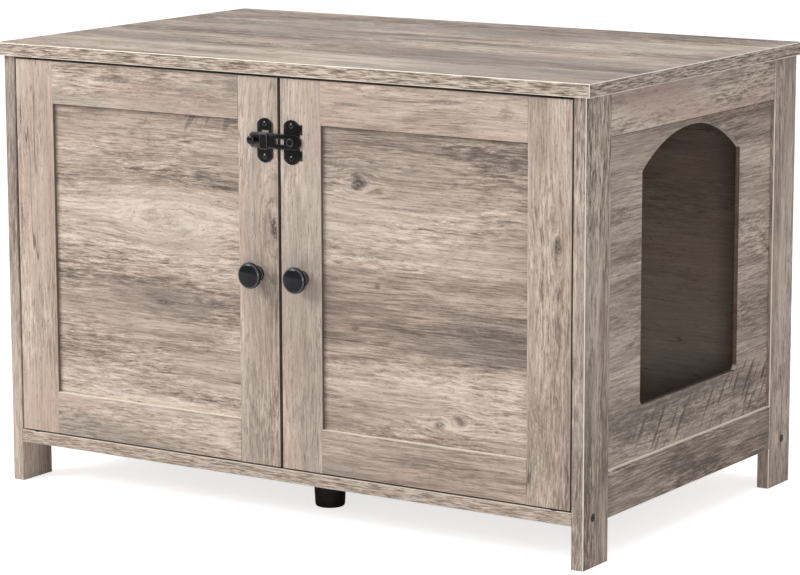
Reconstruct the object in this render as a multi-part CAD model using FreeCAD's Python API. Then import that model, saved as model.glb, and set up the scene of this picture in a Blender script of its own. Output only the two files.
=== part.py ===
import FreeCAD, Part
import math
import os

# A side cabinet that hides a cat litter box: a carcass of two board frames, a top, a floor and a
# thin back, with an arched entrance in the right side and two framed doors on pivot pins, held
# shut by a flip latch. Millimetres. +X is to the right as seen from the front, the doors face -Y,
# and Z = 0 is the surface that the legs stand on.

V = FreeCAD.Vector
LEFT, RIGHT = -1, 1
OUT_OF_FRONT = V(0, -1, 0)
OUT_OF_BACK = V(0, 1, 0)
UP = V(0, 0, 1)
DOWN = V(0, 0, -1)

# ---------------------------------------------------------------- carcass
body_width = 785.0            # outside of the legs
body_depth = 493.0            # front of the front legs to the back of the rear legs
body_height = 510.0           # floor to the underside of the top board
floor_gap = 47.5              # floor to the underside of the bottom board and of the side rails
top_thickness = 15.0
top_side_overhang = 7.5
top_front_overhang = 7.0
bottom_thickness = 15.0
frame_thickness = 15.0        # legs and side rails, across the cabinet
leg_width = 54.0              # legs, front to back
top_rail_width = 48.0
bottom_rail_width = 52.0
side_panel_thickness = 5.0
back_panel_thickness = 3.0
back_panel_inset = 12.0       # rear edges of the boards to the rear face of the back panel
eased_edge = 0.8              # small bevel along the boards' long edges

# Arched cat entrance in the right side panel
entrance_width = 230.0
entrance_over_rail = 57.5     # bottom rail to the bottom of the opening
entrance_under_rail = 7.0     # top rail to the crown of the arch
entrance_rise = 39.0          # height of the arch above its ends
entrance_corner = 7.0         # radius of the two bottom corners

# Grooves that hold the panels
groove_depth = 8.0
back_groove_depth = 5.0
groove_play = 0.1             # on each face of a panel in its groove
groove_end_play = 0.5         # from a panel's edge to the bottom of its groove

# ---------------------------------------------------------------- doors
door_thickness = 15.0
door_side_gap = 2.0
door_centre_gap = 4.0
door_top_gap = 3.5
door_stile_width = 54.0
door_rail_width = 50.0
door_panel_thickness = 5.0

# Pivot pins and their bushes; the flange of the lower bush carries the door
pivot_inset = 20.0            # door's outer edge to the pivot axis
pin_radius = 3.0
pin_depth_in_door = 16.0
pin_depth_in_bush = 9.0
bush_radius = 5.0
bush_length = 11.0
bush_flange_radius = 8.0
bush_flange = 2.0
running_play = 0.05           # radial, between each pin and its bush

# Round knobs
knob_inset = 28.5             # door's inner edge to the knob's axis
knob_below_middle = 1.5       # door's middle to the knob's axis
knob_reach = 20.5             # door's face to the top of the dome
knob_stem_radius = 6.8
knob_head_radius = 14.4
knob_head_low = 13.0          # door's face to the underside of the head
knob_rim_high = 17.8          # door's face to the end of the head's straight rim
knob_crown_radius = 10.5      # inner edge of the bevel round the head

# Double magnetic catch
catch_width = 46.0
catch_height = 13.0
catch_depth = 14.0
catch_ear = 9.0               # fixing ear at each end
catch_ear_thickness = 3.0
catch_gap = 0.3               # strike plates to the catch, doors closed
magnet_spacing = 28.0
magnet_width = 12.0
magnet_height = 7.0
magnet_depth = 6.0
magnet_below_ears = 5.0       # underside of the ears to the middle of the magnets
strike_width = 16.0
strike_height = 10.0
strike_thickness = 1.2

# ---------------------------------------------------------------- flip latch
latch_below_top = 74.0        # underside of the top board to the bar's centre line
plate_width = 21.0
plate_length = 50.0
plate_end_rise = 6.0          # height of each rounded end
plate_thickness = 1.2
keeper_centre = 18.0          # cabinet's centre line to the keeper plate's
base_centre = 18.0            # and to the base plate's, which carries the pivot rivet
base_tab_width = 3.4
base_tab_low = 9.0            # the tabs on the base plate's outer edge start this far from its centre
base_tab_high = 20.0
bar_height = 17.0
bar_thickness = 1.6
bar_left_reach = 55.5         # rivet to the bar's left end
bar_right_reach = 14.0        # rivet to the bar's round end
bar_corner = 2.5
bar_lift_off_plate = 0.3      # bar's back to the plates
slot_height = 6.6
slot_near = 4.6               # rivet to the near end of the slot
slot_far = 20.5               # rivet to the far, rounded end of the slot
rivet_radius = 2.5
rivet_tail = 2.0              # its closed end, let into the stile behind the plate
rivet_head_radius = 5.0
rivet_head = 1.8
hook_width = 10.5
hook_thickness = 1.2
hook_play = 0.4               # around the bar
hook_bend_drop = 1.0          # bar's upper edge to the bend of the lip
hook_lip = 3.2                # length of the flared lip
hook_lip_angle = 40.0
window_over_hook = 3.0        # the plate's window ends this far above the bar
thumb_knob_inset = 4.5        # bar's left end to the thumb knob's axis
thumb_knob_radius = 5.2
thumb_knob_neck = 3.4
thumb_knob_under = 2.8        # bar's face to the underside of the head
thumb_knob_reach = 7.0

# ---------------------------------------------------------------- feet and fasteners
foot_from_front = 97.0        # front of the legs to the front foot's axis, and back to the rear one
foot_top_radius = 19.8
foot_bottom_radius = 17.2

hole_play = 0.05              # around screws, pins, bushes, magnets and dowels
hole_end_play = 0.5           # beyond their ends

leg_screw_head = 4.6
leg_screw_head_depth = 3.0
leg_screw_shank = 2.5
leg_screw_length = 50.0
leg_screw_inset = 21.0        # leg's outer edge to the screw

dowel_thickness = 4.0         # flat dowels, across the leg
dowel_width = 20.0            # along the leg's width
dowel_length = 28.0           # upright
dowel_depth_in_top = 10.0

# ---------------------------------------------------------------- places worked out from the above
outer_x = body_width / 2
inner_x = outer_x - frame_thickness
front = (knob_reach - body_depth) / 2       # puts Y = 0 midway between the knobs and the back
back = front + body_depth
middle_y = (front + back) / 2
cabinet_height = body_height + top_thickness
floor_top = floor_gap + bottom_thickness
bottom_rail_top = floor_gap + bottom_rail_width
top_rail_bottom = body_height - top_rail_width
frame_middle_x = outer_x - frame_thickness / 2
back_panel_rear = back - back_panel_inset
back_panel_front = back_panel_rear - back_panel_thickness
entrance_sill = bottom_rail_top + entrance_over_rail
entrance_spring = top_rail_bottom - entrance_under_rail - entrance_rise

door_bottom = floor_top + bush_flange
door_top = body_height - door_top_gap
door_back = front + door_thickness
door_outer_x = inner_x - door_side_gap
door_inner_x = door_centre_gap / 2
pivot_x = door_outer_x - pivot_inset
pivot_y = front + door_thickness / 2
catch_front = door_back + strike_thickness + catch_gap
strike_z = body_height - catch_ear_thickness - magnet_below_ears
knob_x = door_inner_x + knob_inset
knob_height = (door_bottom + door_top) / 2 - knob_below_middle
panel_reach = groove_depth - groove_end_play    # how far panels and tongues enter their grooves

latch_height = body_height - latch_below_top
bar_back = front - plate_thickness - bar_lift_off_plate
bar_front = bar_back - bar_thickness
bar_bottom = latch_height - bar_height / 2
bar_top = latch_height + bar_height / 2


# ---------------------------------------------------------------- shapes
def block(x_span, y_span, z_span):
    low = V(min(x_span), min(y_span), min(z_span))
    high = V(max(x_span), max(y_span), max(z_span))
    size = high - low
    return Part.makeBox(size.x, size.y, size.z, low)


def edges_along(shape, direction):
    found = []
    for edge in shape.Edges:
        if abs(edge.tangentAt(edge.FirstParameter).dot(direction)) > 0.99:
            found.append(edge)
    return found


def eased_board(x_span, y_span, z_span, grain):
    board = block(x_span, y_span, z_span)
    return board.makeChamfer(eased_edge, edges_along(board, grain))


def rod(radius, length, start, direction):
    return Part.makeCylinder(radius, length, start, direction)


def turned(profile, start, direction):
    """A solid of revolution from its outline as (radius, height) points, stood on start."""
    points = [V(radius, 0, height) for radius, height in profile]
    outline = Part.makePolygon(points + points[:1])
    solid = Part.Face(outline).revolve(V(0, 0, 0), UP, 360)
    solid.Placement = FreeCAD.Placement(start, FreeCAD.Rotation(UP, direction))
    return solid


def prism(edges, direction):
    return Part.Face(Part.Wire(edges)).extrude(direction)


def span(side, near, far):
    """X from near to far on one side of the centre line."""
    return (side * near, side * far)


def bored(shape, cutters):
    for cutter in cutters:
        shape = shape.cut(cutter)
    return shape


# ---------------------------------------------------------------- where the fasteners are
def leg_screw_places():
    places = []
    for side in (LEFT, RIGHT):
        for y in (front + leg_screw_inset, back - leg_screw_inset):
            places.append((V(side * outer_x, y, floor_gap + bottom_thickness / 2), V(side, 0, 0)))
    return places


def leg_screw(place, out, play=0.0):
    """A screw through a leg into the bottom board, its head flush; with play, its stepped hole."""
    end = leg_screw_length + (hole_end_play if play else 0)
    return turned([
        (0, 0),
        (leg_screw_head + play, 0),
        (leg_screw_head + play, -leg_screw_head_depth),
        (leg_screw_shank + play, -leg_screw_head_depth),
        (leg_screw_shank + play, -end),
        (0, -end),
    ], place, out)


def leg_middles():
    return (front + leg_width / 2, back - leg_width / 2)


def top_dowel(side, y, play=0.0):
    """A flat upright dowel between a leg and the top board."""
    half_x = dowel_thickness / 2 + play
    half_y = dowel_width / 2 + play
    ends = hole_end_play if play else 0
    high = body_height + dowel_depth_in_top
    return block(span(side, frame_middle_x - half_x, frame_middle_x + half_x),
                 (y - half_y, y + half_y), (high - dowel_length - ends, high + ends))


def foot_places():
    return (front + foot_from_front, back - foot_from_front)


# ---------------------------------------------------------------- carcass boards
def top_panel():
    board = block((-outer_x - top_side_overhang, outer_x + top_side_overhang),
                  (front - top_front_overhang, back), (body_height, cabinet_height))
    board = board.makeChamfer(eased_edge, board.Edges)
    cutters = [back_panel_groove()]
    for side in (LEFT, RIGHT):
        cutters += [top_dowel(side, y, hole_play) for y in leg_middles()]
        cutters.append(bush_pocket(side, body_height, UP))
    return bored(board, cutters)


def bottom_panel():
    board = eased_board((-inner_x, inner_x), (front, back), (floor_gap, floor_top), V(1, 0, 0))
    cutters = [back_panel_groove()]
    cutters += [bush_pocket(side, floor_top, DOWN) for side in (LEFT, RIGHT)]
    cutters += [leg_screw(place, out, hole_play) for place, out in leg_screw_places()]
    return bored(board, cutters)


def side_panel_blank(side, play_face, play_end):
    """The side panel, or with play the space that its grooves leave for it."""
    half = side_panel_thickness / 2 + play_face
    reach = panel_reach + play_end
    return block(span(side, frame_middle_x - half, frame_middle_x + half),
                 (front + leg_width - reach, back - leg_width + reach),
                 (bottom_rail_top - reach, top_rail_bottom + reach))


def back_panel_blank(play_face, play_end):
    reach = back_groove_depth - groove_end_play + play_end
    return block((-inner_x - reach, inner_x + reach),
                 (back_panel_front - play_face, back_panel_rear + play_face),
                 (floor_top - reach, body_height + reach))


def back_panel_groove():
    return back_panel_blank(groove_play, groove_end_play)


def leg_groove(side):
    """The legs' grooves run from the bottom rail up, so that the rails' tongues fill their ends."""
    half = side_panel_thickness / 2 + groove_play
    return block(span(side, frame_middle_x - half, frame_middle_x + half),
                 (front + leg_width - groove_depth, back - leg_width + groove_depth),
                 (floor_gap, cabinet_height))


def leg(side, at_front):
    y_span = (front, front + leg_width) if at_front else (back - leg_width, back)
    middle = sum(y_span) / 2
    board = eased_board(span(side, inner_x, outer_x), y_span, (0, body_height), UP)
    cutters = [leg_groove(side), back_panel_groove()]
    cutters.append(top_dowel(side, middle, hole_play))
    cutters += [leg_screw(place, out, hole_play) for place, out in leg_screw_places()]
    return bored(board, cutters)


def side_rail(side, z_span):
    """A rail between the legs, with a tongue at each end that fills the legs' grooves."""
    near = front + leg_width
    far = back - leg_width
    board = eased_board(span(side, inner_x, outer_x), (near, far), z_span, V(0, 1, 0))
    half = side_panel_thickness / 2
    board = board.fuse(block(span(side, frame_middle_x - half, frame_middle_x + half),
                             (near - panel_reach, far + panel_reach), z_span))
    return board.cut(side_panel_blank(side, groove_play, groove_end_play)).removeSplitter()


def entrance_opening():
    """The arched opening as a solid through the right side panel."""
    half = entrance_width / 2
    x = inner_x
    left_foot = V(x, middle_y - half, entrance_sill)
    right_foot = V(x, middle_y + half, entrance_sill)
    left_spring = V(x, middle_y - half, entrance_spring)
    right_spring = V(x, middle_y + half, entrance_spring)
    crown = V(x, middle_y, entrance_spring + entrance_rise)
    outline = [
        Part.makeLine(left_foot, right_foot),
        Part.makeLine(right_foot, right_spring),
        Part.Arc(right_spring, crown, left_spring).toShape(),
        Part.makeLine(left_spring, left_foot),
    ]
    opening = prism(outline, V(frame_thickness, 0, 0))
    corners = []
    for edge in edges_along(opening, V(1, 0, 0)):
        if abs(edge.CenterOfMass.z - entrance_sill) < 0.01:
            corners.append(edge)
    return opening.makeFillet(entrance_corner, corners)


def right_side_panel():
    return side_panel_blank(RIGHT, 0, 0).cut(entrance_opening())


# ---------------------------------------------------------------- feet
def centre_foot(y):
    """A round foot, wider at the top."""
    return turned([
        (0, 0),
        (foot_bottom_radius, 0),
        (foot_top_radius, floor_gap),
        (0, floor_gap),
    ], V(0, y, 0), UP)


# ---------------------------------------------------------------- door pivots
def bush_pocket(side, face_z, into_board):
    start = V(side * pivot_x, pivot_y, face_z)
    return rod(bush_radius + hole_play, bush_length + hole_end_play, start, into_board)


def pivot_bush(side, face_z, into_board):
    """A plain bush let into the board, flush with its face at face_z, and bored for the pin."""
    seat = V(side * pivot_x, pivot_y, face_z)
    return rod(bush_radius, bush_length, seat, into_board).cut(
        rod(pin_radius + running_play, bush_length, seat, into_board))


def flanged_bush(side):
    """The lower bush: its flange stands on the bottom board and carries the door."""
    low = floor_top - bush_length
    bore = pin_radius + running_play
    return turned([
        (bore, low),
        (bush_radius, low),
        (bush_radius, floor_top),
        (bush_flange_radius, floor_top),
        (bush_flange_radius, door_bottom),
        (bore, door_bottom),
    ], V(side * pivot_x, pivot_y, 0), UP)


def pivot_pin(side, door_edge_z, out_of_door, reach, play=0.0):
    """One door pin, from inside the stile to its end in the bush."""
    start = V(side * pivot_x, pivot_y, door_edge_z) - out_of_door * (pin_depth_in_door + play)
    return rod(pin_radius + play, pin_depth_in_door + reach + play, start, out_of_door)


def pivot_pins(side, play=0.0):
    upper = pivot_pin(side, door_top, UP, door_top_gap + pin_depth_in_bush, play)
    lower = pivot_pin(side, door_bottom, DOWN, bush_flange + pin_depth_in_bush, play)
    return [upper, lower]


# ---------------------------------------------------------------- magnetic catch
def catch_housing():
    body_half = catch_width / 2 - catch_ear
    y_span = (catch_front, catch_front + catch_depth)
    housing = block((-body_half, body_half), y_span, (body_height - catch_height, body_height))
    ears = block((-catch_width / 2, catch_width / 2), y_span,
                 (body_height - catch_ear_thickness, body_height))
    housing = housing.fuse(ears).removeSplitter()
    return bored(housing, [magnet(side, hole_play) for side in (LEFT, RIGHT)])


def magnet(side, play=0.0):
    """One magnet, flush with the catch's front; its pocket is open there."""
    x = side * magnet_spacing / 2
    half_x = magnet_width / 2 + play
    half_z = magnet_height / 2 + play
    return block((x - half_x, x + half_x), (catch_front, catch_front + magnet_depth + play),
                 (strike_z - half_z, strike_z + half_z))


def strike_plate(side):
    x = side * magnet_spacing / 2
    return block((x - strike_width / 2, x + strike_width / 2), (door_back, door_back + strike_thickness),
                 (strike_z - strike_height / 2, strike_z + strike_height / 2))


# ---------------------------------------------------------------- doors
def door_groove(side, play_face, play_end):
    """The door's panel, or with play the groove that runs round inside its frame."""
    half = door_panel_thickness / 2 + play_face
    reach = panel_reach + play_end
    return block(span(side, door_inner_x + door_stile_width - reach,
                      door_outer_x - door_stile_width + reach),
                 (pivot_y - half, pivot_y + half),
                 (door_bottom + door_rail_width - reach, door_top - door_rail_width + reach))


def stile_groove(side):
    """The stiles' grooves run right through, so that the rails' tongues fill their ends."""
    half = door_panel_thickness / 2 + groove_play
    return block(span(side, door_inner_x + door_stile_width - groove_depth,
                      door_outer_x - door_stile_width + groove_depth),
                 (pivot_y - half, pivot_y + half), (floor_top, body_height))


def stile(side, near_x, far_x):
    board = eased_board(span(side, near_x, far_x), (front, door_back), (door_bottom, door_top), UP)
    cutters = [stile_groove(side)]
    cutters += pivot_pins(side, hole_play)
    if side == RIGHT:
        cutters.append(rivet_hole())
    return bored(board, cutters)


def door_rail(side, z_span):
    """A rail between the stiles, with a tongue at each end that fills the stiles' grooves."""
    near = door_inner_x + door_stile_width
    far = door_outer_x - door_stile_width
    board = eased_board(span(side, near, far), (front, door_back), z_span, V(1, 0, 0))
    half = door_panel_thickness / 2
    board = board.fuse(block(span(side, near - panel_reach, far + panel_reach),
                             (pivot_y - half, pivot_y + half), z_span))
    return board.cut(door_groove(side, groove_play, groove_end_play)).removeSplitter()


def knob(side):
    """A turned knob: a straight stem and a wide bevelled head."""
    return turned([
        (0, 0),
        (knob_stem_radius, 0),
        (knob_stem_radius, knob_head_low),
        (knob_head_radius, knob_head_low),
        (knob_head_radius, knob_rim_high),
        (knob_crown_radius, knob_reach),
        (0, knob_reach),
    ], V(side * knob_x, front, knob_height), OUT_OF_FRONT)


# ---------------------------------------------------------------- flip latch
def plate_blank(x):
    """A latch plate with straight sides and two rounded ends, flat on the door."""
    half = plate_width / 2
    shoulder = plate_length / 2 - plate_end_rise
    y = front

    def at(dx, dz):
        return V(x + dx, y, latch_height + dz)

    outline = [
        Part.makeLine(at(half, -shoulder), at(half, shoulder)),
        Part.Arc(at(half, shoulder), at(0, plate_length / 2), at(-half, shoulder)).toShape(),
        Part.makeLine(at(-half, shoulder), at(-half, -shoulder)),
        Part.Arc(at(-half, -shoulder), at(0, -plate_length / 2), at(half, -shoulder)).toShape(),
    ]
    return prism(outline, OUT_OF_FRONT * plate_thickness)


def latch_keeper():
    """The keeper plate, with a hook cut from its middle and bent out to hold the bar from below."""
    x = -keeper_centre
    half = hook_width / 2
    floor_z = bar_bottom - hook_play
    low = floor_z - hook_thickness
    inside = bar_front - hook_play
    outside = inside - hook_thickness
    hook_top = bar_top - hook_bend_drop
    angle = math.radians(hook_lip_angle)
    lip = V(0, -math.sin(angle), math.cos(angle)) * hook_lip
    across = V(0, -math.cos(angle), -math.sin(angle)) * hook_thickness
    inner_end = V(x - half, inside, hook_top)
    outer_end = V(x - half, outside, hook_top - hook_thickness * math.tan(angle / 2))
    section = [
        V(x - half, front, low),
        V(x - half, front, floor_z),
        V(x - half, inside, floor_z),
        inner_end,
        inner_end + lip,
        inner_end + lip + across,
        outer_end,
        V(x - half, outside, low),
    ]
    hook = prism([Part.makePolygon(section + section[:1])], V(hook_width, 0, 0))
    rounded = []
    for edge in edges_along(hook, V(1, 0, 0)):
        middle = edge.CenterOfMass
        if abs(middle.y - outside) < 0.01 and abs(middle.z - low) < 0.01:
            rounded.append(edge)
    hook = hook.makeFillet(hook_thickness, rounded)
    window = block((x - half, x + half), (front, front - plate_thickness),
                   (floor_z, bar_top + window_over_hook))
    return plate_blank(x).cut(window).fuse(hook).removeSplitter()


def rivet_hole():
    start = V(base_centre, front - plate_thickness, latch_height)
    return rod(rivet_radius + hole_play, plate_thickness + rivet_tail + hole_end_play, start, OUT_OF_BACK)


def latch_base():
    """The base plate, with two square tabs on its outer edge either side of the bar."""
    edge = base_centre + plate_width / 2
    plate = plate_blank(base_centre)
    for side in (-1, 1):
        tab = block((base_centre, edge + base_tab_width), (front, front - plate_thickness),
                    (latch_height + side * base_tab_low, latch_height + side * base_tab_high))
        plate = plate.fuse(tab)
    return plate.removeSplitter().cut(rivet_hole())


def latch_rivet():
    """The shouldered rivet that the bar turns on: wide head in front, shank into the base."""
    under_head = plate_thickness + bar_lift_off_plate + bar_thickness + bar_lift_off_plate
    return turned([
        (0, -rivet_tail),
        (rivet_radius, -rivet_tail),
        (rivet_radius, under_head),
        (rivet_head_radius, under_head),
        (rivet_head_radius, under_head + rivet_head),
        (0, under_head + rivet_head),
    ], V(base_centre, front, latch_height), OUT_OF_FRONT)


def bar_outline():
    left = base_centre - bar_left_reach
    round_centre = base_centre + bar_right_reach - bar_height / 2
    cut = bar_corner
    y = bar_back
    lower_right = V(round_centre, y, bar_bottom)
    upper_right = V(round_centre, y, bar_top)
    tip = V(base_centre + bar_right_reach, y, latch_height)
    return [
        Part.makeLine(V(left + cut, y, bar_bottom), lower_right),
        Part.Arc(lower_right, tip, upper_right).toShape(),
        Part.makeLine(upper_right, V(left + cut, y, bar_top)),
        Part.makeLine(V(left + cut, y, bar_top), V(left, y, bar_top - cut)),
        Part.makeLine(V(left, y, bar_top - cut), V(left, y, bar_bottom + cut)),
        Part.makeLine(V(left, y, bar_bottom + cut), V(left + cut, y, bar_bottom)),
    ]


def bar_slot():
    half = slot_height / 2
    near = base_centre - slot_near
    far = base_centre - slot_far
    y = bar_back
    outline = [
        Part.makeLine(V(far + half, y, latch_height - half), V(near, y, latch_height - half)),
        Part.makeLine(V(near, y, latch_height - half), V(near, y, latch_height + half)),
        Part.makeLine(V(near, y, latch_height + half), V(far + half, y, latch_height + half)),
        Part.Arc(V(far + half, y, latch_height + half), V(far, y, latch_height),
                 V(far + half, y, latch_height - half)).toShape(),
    ]
    return prism(outline, OUT_OF_FRONT * bar_thickness)


def latch_bar():
    bar = prism(bar_outline(), OUT_OF_FRONT * bar_thickness)
    pivot = rod(rivet_radius + running_play, bar_thickness, V(base_centre, bar_back, latch_height),
                OUT_OF_FRONT)
    return bored(bar, [bar_slot(), pivot])


def latch_thumb_knob():
    return turned([
        (0, 0),
        (thumb_knob_neck, 0),
        (thumb_knob_neck, thumb_knob_under),
        (thumb_knob_radius, thumb_knob_under),
        (thumb_knob_radius, thumb_knob_reach),
        (0, thumb_knob_reach),
    ], V(base_centre - bar_left_reach + thumb_knob_inset, bar_front, latch_height), OUT_OF_FRONT)


# ---------------------------------------------------------------- the whole cabinet
def carcass():
    return {
        "top_panel": top_panel(),
        "bottom_panel": bottom_panel(),
        "front_left_leg": leg(LEFT, True),
        "rear_left_leg": leg(LEFT, False),
        "front_right_leg": leg(RIGHT, True),
        "rear_right_leg": leg(RIGHT, False),
        "left_top_rail": side_rail(LEFT, (top_rail_bottom, body_height)),
        "left_bottom_rail": side_rail(LEFT, (floor_gap, bottom_rail_top)),
        "right_top_rail": side_rail(RIGHT, (top_rail_bottom, body_height)),
        "right_bottom_rail": side_rail(RIGHT, (floor_gap, bottom_rail_top)),
        "left_side_panel": side_panel_blank(LEFT, 0, 0),
        "right_side_panel": right_side_panel(),
        "back_panel": back_panel_blank(0, 0),
        "centre_feet": [centre_foot(y) for y in foot_places()],
        "leg_screws": [leg_screw(place, out) for place, out in leg_screw_places()],
        "top_dowels": [top_dowel(side, y) for side in (LEFT, RIGHT) for y in leg_middles()],
        "upper_pivot_bushes": [pivot_bush(side, body_height, UP) for side in (LEFT, RIGHT)],
        "lower_pivot_bushes": [flanged_bush(side) for side in (LEFT, RIGHT)],
        "catch_housing": catch_housing(),
        "catch_magnets": [magnet(side) for side in (LEFT, RIGHT)],
    }


def door(side, name):
    return {
        name + "_door_outer_stile": stile(side, door_outer_x - door_stile_width, door_outer_x),
        name + "_door_inner_stile": stile(side, door_inner_x, door_inner_x + door_stile_width),
        name + "_door_top_rail": door_rail(side, (door_top - door_rail_width, door_top)),
        name + "_door_bottom_rail": door_rail(side, (door_bottom, door_bottom + door_rail_width)),
        name + "_door_panel": door_groove(side, 0, 0),
        name + "_knob": knob(side),
        name + "_pivot_pins": pivot_pins(side),
        name + "_strike_plate": strike_plate(side),
    }


def latch():
    return {
        "latch_keeper": latch_keeper(),
        "latch_base": latch_base(),
        "latch_rivet": latch_rivet(),
        "latch_bar": latch_bar(),
        "latch_thumb_knob": latch_thumb_knob(),
    }


def write(nodes):
    os.makedirs("parts", exist_ok=True)
    for name, shape in nodes.items():
        if isinstance(shape, list):
            shape = Part.makeCompound(shape)
        if not shape.isValid() or not shape.Solids:
            raise ValueError(name + " is not a valid solid")
        shape.exportStep("parts/" + name + ".step")
        print(name, "solids", len(shape.Solids), "volume", round(shape.Volume, 1))


write({**carcass(), **door(LEFT, "left"), **door(RIGHT, "right"), **latch()})
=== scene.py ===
import math

import bmesh
import bpy
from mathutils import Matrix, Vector


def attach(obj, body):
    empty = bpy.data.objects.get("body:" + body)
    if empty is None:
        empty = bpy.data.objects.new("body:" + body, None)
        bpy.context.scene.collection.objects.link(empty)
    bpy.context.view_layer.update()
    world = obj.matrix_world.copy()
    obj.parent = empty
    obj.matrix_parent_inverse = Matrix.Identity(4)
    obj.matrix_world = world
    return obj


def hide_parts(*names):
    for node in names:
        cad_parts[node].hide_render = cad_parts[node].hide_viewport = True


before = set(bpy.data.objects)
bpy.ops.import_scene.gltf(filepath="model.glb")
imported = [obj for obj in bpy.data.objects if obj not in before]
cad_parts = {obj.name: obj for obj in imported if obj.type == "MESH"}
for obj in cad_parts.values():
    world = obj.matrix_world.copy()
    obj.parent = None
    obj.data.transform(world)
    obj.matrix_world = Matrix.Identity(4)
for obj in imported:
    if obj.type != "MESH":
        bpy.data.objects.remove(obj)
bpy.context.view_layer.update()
mm = 0.001


# shader and mesh helpers
def paint(red, green, blue):
    return tuple(((c / 255 + 0.055) / 1.055) ** 2.4 for c in (red, green, blue)) + (1.0,)


def put(tree, kind, sockets=None, **settings):
    node = tree.nodes.new(kind)
    for key, value in settings.items():
        setattr(node, key, value)
    for key, value in (sockets or {}).items():
        if isinstance(value, bpy.types.NodeSocket):
            tree.links.new(value, node.inputs[key])
        else:
            node.inputs[key].default_value = value
    return node


def group(tree, which, sockets):
    return put(tree, "ShaderNodeGroup", sockets, node_tree=which).outputs


def calc(tree, operation, *values):
    return put(tree, "ShaderNodeMath", dict(enumerate(values)), operation=operation).outputs[0]


def chain(tree, operation, values):
    total = values[0]
    for value in values[1:]:
        total = calc(tree, operation, total, value)
    return total


def plus(tree, *values):
    return chain(tree, "ADD", values)


def minus(tree, first, second):
    return calc(tree, "SUBTRACT", first, second)


def times(tree, *values):
    return chain(tree, "MULTIPLY", values)


def largest(tree, *values):
    return chain(tree, "MAXIMUM", values)


def vec(tree, operation, *values):
    return put(tree, "ShaderNodeVectorMath", dict(enumerate(values)), operation=operation).outputs[0]


def length(tree, vector):
    return put(tree, "ShaderNodeVectorMath", {0: vector}, operation="LENGTH").outputs["Value"]


def combine(tree, x=0.0, y=0.0, z=0.0):
    return put(tree, "ShaderNodeCombineXYZ", {0: x, 1: y, 2: z}).outputs[0]


def separate(tree, vector):
    return put(tree, "ShaderNodeSeparateXYZ", {0: vector}).outputs


def ease(tree, value, low, high, start=0.0, end=1.0):
    sockets = {"Value": value, "From Min": low, "From Max": high, "To Min": start, "To Max": end}
    return put(tree, "ShaderNodeMapRange", sockets, interpolation_type="SMOOTHSTEP").outputs[0]


def mixColour(tree, share, first, second):
    return put(tree, "ShaderNodeMix", {0: share, 6: first, 7: second}, data_type="RGBA").outputs[2]


def noiseOutputs(tree, place, stretch, detail=2.0, rough=0.5, twist=0.0):
    sockets = {"Vector": vec(tree, "MULTIPLY", place, stretch), "Scale": 1.0, "Detail": detail,
               "Roughness": rough, "Distortion": twist}
    return put(tree, "ShaderNodeTexNoise", sockets).outputs


def noise(tree, place, *shape):
    return noiseOutputs(tree, place, *shape)[0]


def ramp(tree, value, stops):
    node = put(tree, "ShaderNodeValToRGB", {0: value})
    elements = node.color_ramp.elements
    while len(elements) > 1:
        elements.remove(elements[-1])
    elements[0].position, elements[0].color = stops[0]
    for position, colour in stops[1:]:
        elements.new(position).color = colour
    return node.outputs[0]


def newGroup(name, inputs, outputs):
    tree = bpy.data.node_groups.new(name, "ShaderNodeTree")
    for label, kind, value in inputs:
        socket = tree.interface.new_socket(label, in_out="INPUT", socket_type="NodeSocket" + kind)
        if value is not None:
            socket.default_value = value
    for label, kind in outputs:
        tree.interface.new_socket(label, in_out="OUTPUT", socket_type="NodeSocket" + kind)
    return tree, tree.nodes.new("NodeGroupInput").outputs, tree.nodes.new("NodeGroupOutput").inputs


def newMaterial(name):
    material = bpy.data.materials.new(name)
    material.use_nodes = True
    return material, material.node_tree, material.node_tree.nodes["Principled BSDF"]


# the printed oak, shared by every board
oakColours = {
    "dark": paint(104, 92, 82), "low": paint(146, 130, 118), "middle": paint(180, 162, 148),
    "light": paint(204, 187, 172), "pale": paint(224, 209, 194), "pink": paint(200, 170, 157),
    "grey": paint(146, 139, 131), "crack": paint(74, 60, 50), "knot": paint(76, 66, 58),
    "saw": paint(82, 72, 66), "creamHighlight": paint(255, 247, 234), "jambShade": paint(98, 78, 64),
}
edgeBandColours = {"brown": paint(112, 96, 84), "middle": paint(172, 155, 141), "fleck": paint(212, 199, 185)}
# changes per metre along, across and through the grain, then detail, roughness and twist
oakNoises = {
    "drift": ((3.0, 9.0, 9.0),), "ripple": ((28.0, 80.0, 80.0),), "broad": ((2.6, 15.0, 15.0), 3.0),
    "bands": ((4.0, 75.0, 75.0), 3.0, 0.6), "fine": ((24.0, 460.0, 460.0), 4.0, 0.78),
    "pores": ((110.0, 620.0, 620.0), 2.0, 0.7), "rough": ((52.0, 330.0, 330.0), 3.0, 0.75, 0.45),
    "roughZone": ((5.0, 17.0, 17.0),), "blush": ((4.0, 11.0, 11.0),), "ash": ((2.4, 13.0, 13.0), 3.0),
    "crackLine": ((2.2, 42.0, 42.0),), "crackZone": ((6.0, 26.0, 26.0), 3.0),
    "edgeBand": ((46.0, 620.0, 620.0), 4.0, 0.72, 0.5),
}
# where each noise starts and ends to show, and with what strength
oakLimits = {
    "pores": (0.4, 0.28), "roughZone": (0.44, 0.6, 0.15, 1.0), "blush": (0.45, 0.68), "ash": (0.46, 0.66),
    "crackLine": (0.011, 0.003), "crackZone": (0.6, 0.68), "gloss": (0.2, 0.8, 0.5, 0.66),
}
oakShares = {"broad": 1.0, "bands": 0.66, "fine": 1.45, "rough": 1.7, "pink": 0.7, "pores": 0.5,
             "cracks": 0.7, "relief": 0.8}
oakSway = {"drift": 16.0, "ripple": 1.6}  # sideways, in mm
seedShift = (1.73, 0.91, 2.37)
ashShift = (3.1, 5.7, 1.9)


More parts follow.
